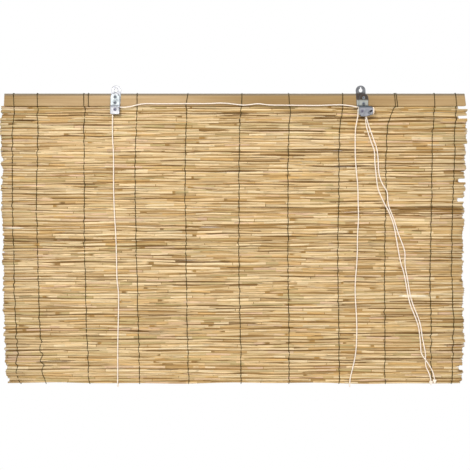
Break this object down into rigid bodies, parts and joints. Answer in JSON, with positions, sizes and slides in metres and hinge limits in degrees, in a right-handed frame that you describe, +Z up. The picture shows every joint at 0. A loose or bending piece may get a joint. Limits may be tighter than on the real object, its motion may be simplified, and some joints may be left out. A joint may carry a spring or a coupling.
{
  "type": "reed roll up blind",
  "caption": "Roll up window blind of stitched natural reeds under a wooden headrail, hung by keyhole brackets, with pulleys, a roller cord lock and white draw cords.",
  "frame": {"origin": "midway between the two hanging holes, in the plane of the headrail's front face", "axes": "+X along the headrail to the right as seen from the front, +Y back to the wall, +Z up"},
  "size_m": [1.0086, 0.0309, 0.6583],
  "materials": {
    "rail_wood": "planed, clear coated",
    "reed": "natural, dry",
    "twine": "twisted",
    "bright_zinc": "bright zinc plated",
    "grey_zinc": "grey zinc plated",
    "screw_steel": "zinc plated",
    "pulley_plastic": "moulded",
    "roller_steel": "knurled",
    "draw_cord": "braided",
    "staple_wire": "drawn wire"
  },
  "bodies": {
    "frame": {"headrail": "rail_wood", "reed_mat": "reed", "left_hanger_plate": "bright_zinc", "left_pulley_plate": "bright_zinc", "left_pulley_rivet": "bright_zinc", "left_plate_screws": "screw_steel", "right_hanger_plate": "grey_zinc", "right_lock_plate": "grey_zinc", "right_pulley_rivet": "grey_zinc", "right_plate_screws": "screw_steel", "left_cord": "draw_cord", "right_cord": "draw_cord", "left_cord_knot": "draw_cord", "right_cord_knot": "draw_cord", "left_cord_staple": "staple_wire", "right_cord_staple": "staple_wire", "stitch_thread_01": "twine", "stitch_thread_02": "twine", "stitch_thread_03": "twine", "stitch_thread_04": "twine", "stitch_thread_05": "twine", "stitch_thread_06": "twine", "stitch_thread_07": "twine", "stitch_thread_08": "twine", "stitch_thread_09": "twine", "stitch_thread_10": "twine", "stitch_thread_11": "twine"},
    "left_pulley": {"left_sheave": "pulley_plastic"},
    "right_rear_pulley": {"right_sheave_rear": "pulley_plastic"},
    "right_front_pulley": {"right_sheave_front": "pulley_plastic"},
    "lock_pin": {"lock_roller_pin": "roller_steel"},
    "lock_roller": {"lock_roller": "roller_steel"}
  },
  "joints": [
    {"name": "right_rear_pulley_spin", "type": "hinge", "parent": "frame", "child": "right_rear_pulley", "pos_m": [0.2656, -0.00405, -0.0446], "axis": [0, 1, 0], "continuous": true},
    {"name": "left_pulley_spin", "type": "hinge", "parent": "frame", "child": "left_pulley", "pos_m": [-0.2655, -0.00405, -0.0408], "axis": [0, 1, 0], "continuous": true},
    {"name": "right_front_pulley_spin", "type": "hinge", "parent": "frame", "child": "right_front_pulley", "pos_m": [0.2656, -0.00935, -0.0446], "axis": [0, 1, 0], "continuous": true},
    {"name": "lock_pin_slide", "type": "slide", "parent": "frame", "child": "lock_pin", "axis": [0.766, 0, 0.6428], "range_m": [0, 0.007]},
    {"name": "lock_roller_spin", "type": "hinge", "parent": "lock_pin", "child": "lock_roller", "pos_m": [0.2802, -0.0067, -0.048], "axis": [0, 1, 0], "continuous": true}
  ]
}
